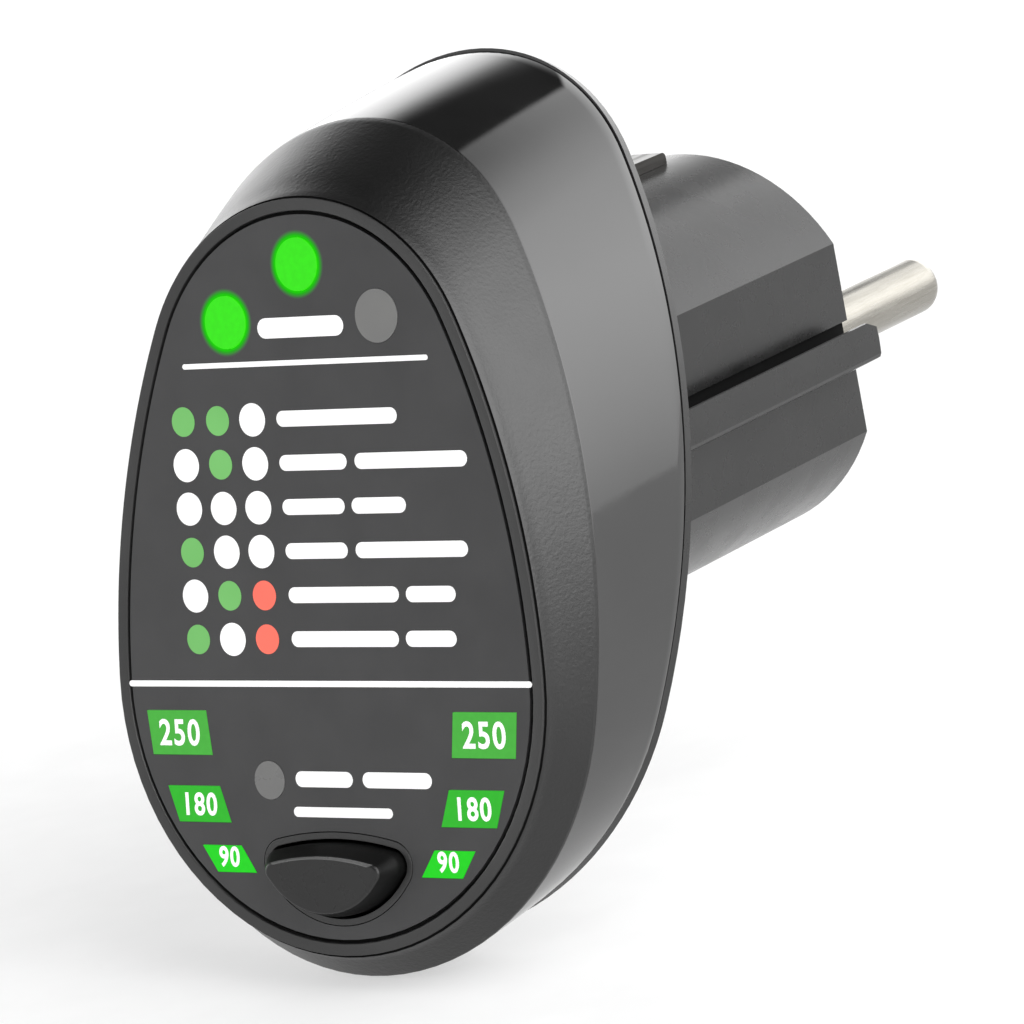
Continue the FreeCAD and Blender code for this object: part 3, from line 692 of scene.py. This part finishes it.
def make_numbers():
    """Level numbers on the windows."""
    # window, text, size, and how far above the window's middle it sits
    levels = (("high", "250", 2.9, -0.1), ("mid", "180", 2.5, -0.1), ("low", "90", 2.2, 0.1))
    half_thickness = 0.008
    squeeze = Matrix.Diagonal((0.90, 1.0, 1.0, 1.0))
    for name, text, size, rise in levels:
        u, v = WINDOWS[name][:2]
        for side, sign in (("left", -1), ("right", 1)):
            curve = bpy.data.curves.new("number", "FONT")
            curve.body = text
            curve.size = size * MM
            curve.align_x = "CENTER"
            curve.align_y = "CENTER"
            curve.offset = 0.06 * MM
            curve.space_character = 1.14
            curve.extrude = half_thickness * MM
            curve.resolution_u = 6
            mesh = curve_to_mesh(curve)
            place = Matrix.Translation(Vector((sign * u, v + rise, -half_thickness)) * MM)
            mesh.transform(HEAD_MATRIX @ place @ squeeze)
            new_object("number_%s_%s" % (name, side), mesh, [ink_white])


shell_skin = make_shell()
shell_floor = make_shell_floor()
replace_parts(shell_skin, "front_shell")
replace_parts(shell_floor, "front_shell")
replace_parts(make_collar(), "front_shell")
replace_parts(make_label(), "label_panel")
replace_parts(make_button(), "test_button")
make_print()
make_numbers()


# ---------------------------------------------------------------------------
# floor, light and camera
# ---------------------------------------------------------------------------
CAMERA_AZIMUTH, CAMERA_ELEVATION, CAMERA_ROLL = (math.radians(a) for a in (38.812, 12.526, -11.014))
CAMERA_PLACE = Vector((0.293133, -0.395317, 0.098095))
CAMERA_LENS = 206.56


def make_floor():
    """A round sheet of pale paper just under the object."""
    bm = bmesh.new()
    z = cad_box[0].z - 0.0002
    steps = 96
    angles = [2 * math.pi * i / steps for i in range(steps)]
    rings = [[Vector((r * math.cos(t), r * math.sin(t), z)) for t in angles] for r in (0.02, 0.2, 1.0, 4.0)]
    verts = bridge(bm, rings)
    bm.faces.new(verts[0])
    mesh = finish_mesh(bm, "floor")
    paint = Paint("floor_paper", 0.9)
    paint.base(paint.colours(paint.ramp(paint.noise(8.0), 0.0, 1.0), grey(0.37), grey(0.39)))
    paint.shader.inputs["Emission Color"].default_value = (1.0, 1.0, 1.0, 1.0)
    paint.shader.inputs["Emission Strength"].default_value = 0.51
    mesh.materials.append(paint.mat)
    obj = bpy.data.objects.new("floor", mesh)
    bpy.context.scene.collection.objects.link(obj)


def make_world():
    """A white studio with a dark ceiling and five soft lights. Angles in degrees."""
    world = bpy.data.worlds.new("studio")
    bpy.context.scene.world = world
    world.use_nodes = True
    tree = world.node_tree

    def product(first, second):
        return math_node(tree, "MULTIPLY", first, second)

    def step(value, start, end, low=0.0, high=1.0):
        return map_range(tree, value, start, end, low, high, smooth=True)

    place = tree.nodes.new("ShaderNodeTexCoord")
    split = tree.nodes.new("ShaderNodeSeparateXYZ")
    tree.links.new(place.outputs["Generated"], split.inputs["Vector"])
    degrees = 180 / math.pi
    azimuth = product(math_node(tree, "ARCTAN2", split.outputs["X"], split.outputs["Y"]), degrees)
    height = product(math_node(tree, "ARCSINE", split.outputs["Z"]), degrees)
    # azimuth for the slanted near side of the first light
    leaning = math_node(tree, "SUBTRACT", azimuth, product(math_node(tree, "SUBTRACT", height, 47.0), 0.8))

    def window(az, el, gain, side=azimuth):
        """Extra light between four angles: (fade in, full, full, fade out) for azimuth and elevation."""
        across = product(step(side, az[0], az[1]), step(azimuth, az[2], az[3], 1.0, 0.0))
        along = product(step(height, el[0], el[1]), step(height, el[2], el[3], 1.0, 0.0))
        return product(product(across, along), gain)

    room = step(height, 20.0, 40.0, 1.0, 0.03)
    right = window((-6.0, -2.0, 105.0, 125.0), (-16.0, 24.0, 36.0, 60.0), 2.1, leaning)
    side = window((50.0, 75.0, 115.0, 135.0), (-5.0, 28.0, 62.0, 82.0), 3.2)
    left = window((-120.0, -88.0, -42.0, -27.0), (-10.0, 3.0, 26.0, 40.0), 1.7)
    front = window((-172.0, -155.0, -125.0, -108.0), (22.0, 29.0, 38.0, 46.0), 1.2)
    upper = window((30.0, 52.0, 110.0, 130.0), (58.0, 70.0, 80.0, 88.0), 1.2)
    total = room
    for light in (right, side, left, front, upper):
        total = math_node(tree, "ADD", total, light)
    back = tree.nodes["Background"]
    back.inputs["Color"].default_value = (1.0, 1.0, 1.0, 1.0)
    tree.links.new(total, back.inputs["Strength"])


def make_camera():
    flat = math.cos(CAMERA_ELEVATION)
    ahead = Vector((-math.sin(CAMERA_AZIMUTH) * flat, math.cos(CAMERA_AZIMUTH) * flat,
                    -math.sin(CAMERA_ELEVATION)))
    level = ahead.cross(Vector((0.0, 0.0, 1.0))).normalized()
    right = level * math.cos(CAMERA_ROLL) + level.cross(ahead) * math.sin(CAMERA_ROLL)
    up = right.cross(ahead)
    data = bpy.data.cameras.new("camera")
    data.sensor_width = 36.0
    data.lens = CAMERA_LENS
    data.clip_start = 0.01
    data.clip_end = 20.0
    obj = bpy.data.objects.new("camera", data)
    bpy.context.scene.collection.objects.link(obj)
    pose = Matrix((right, up, -ahead)).transposed().to_4x4()
    pose.translation = CAMERA_PLACE
    obj.matrix_world = pose
    bpy.context.scene.camera = obj


make_floor()
make_world()
make_camera()
bpy.context.scene.view_settings.view_transform = "Standard"
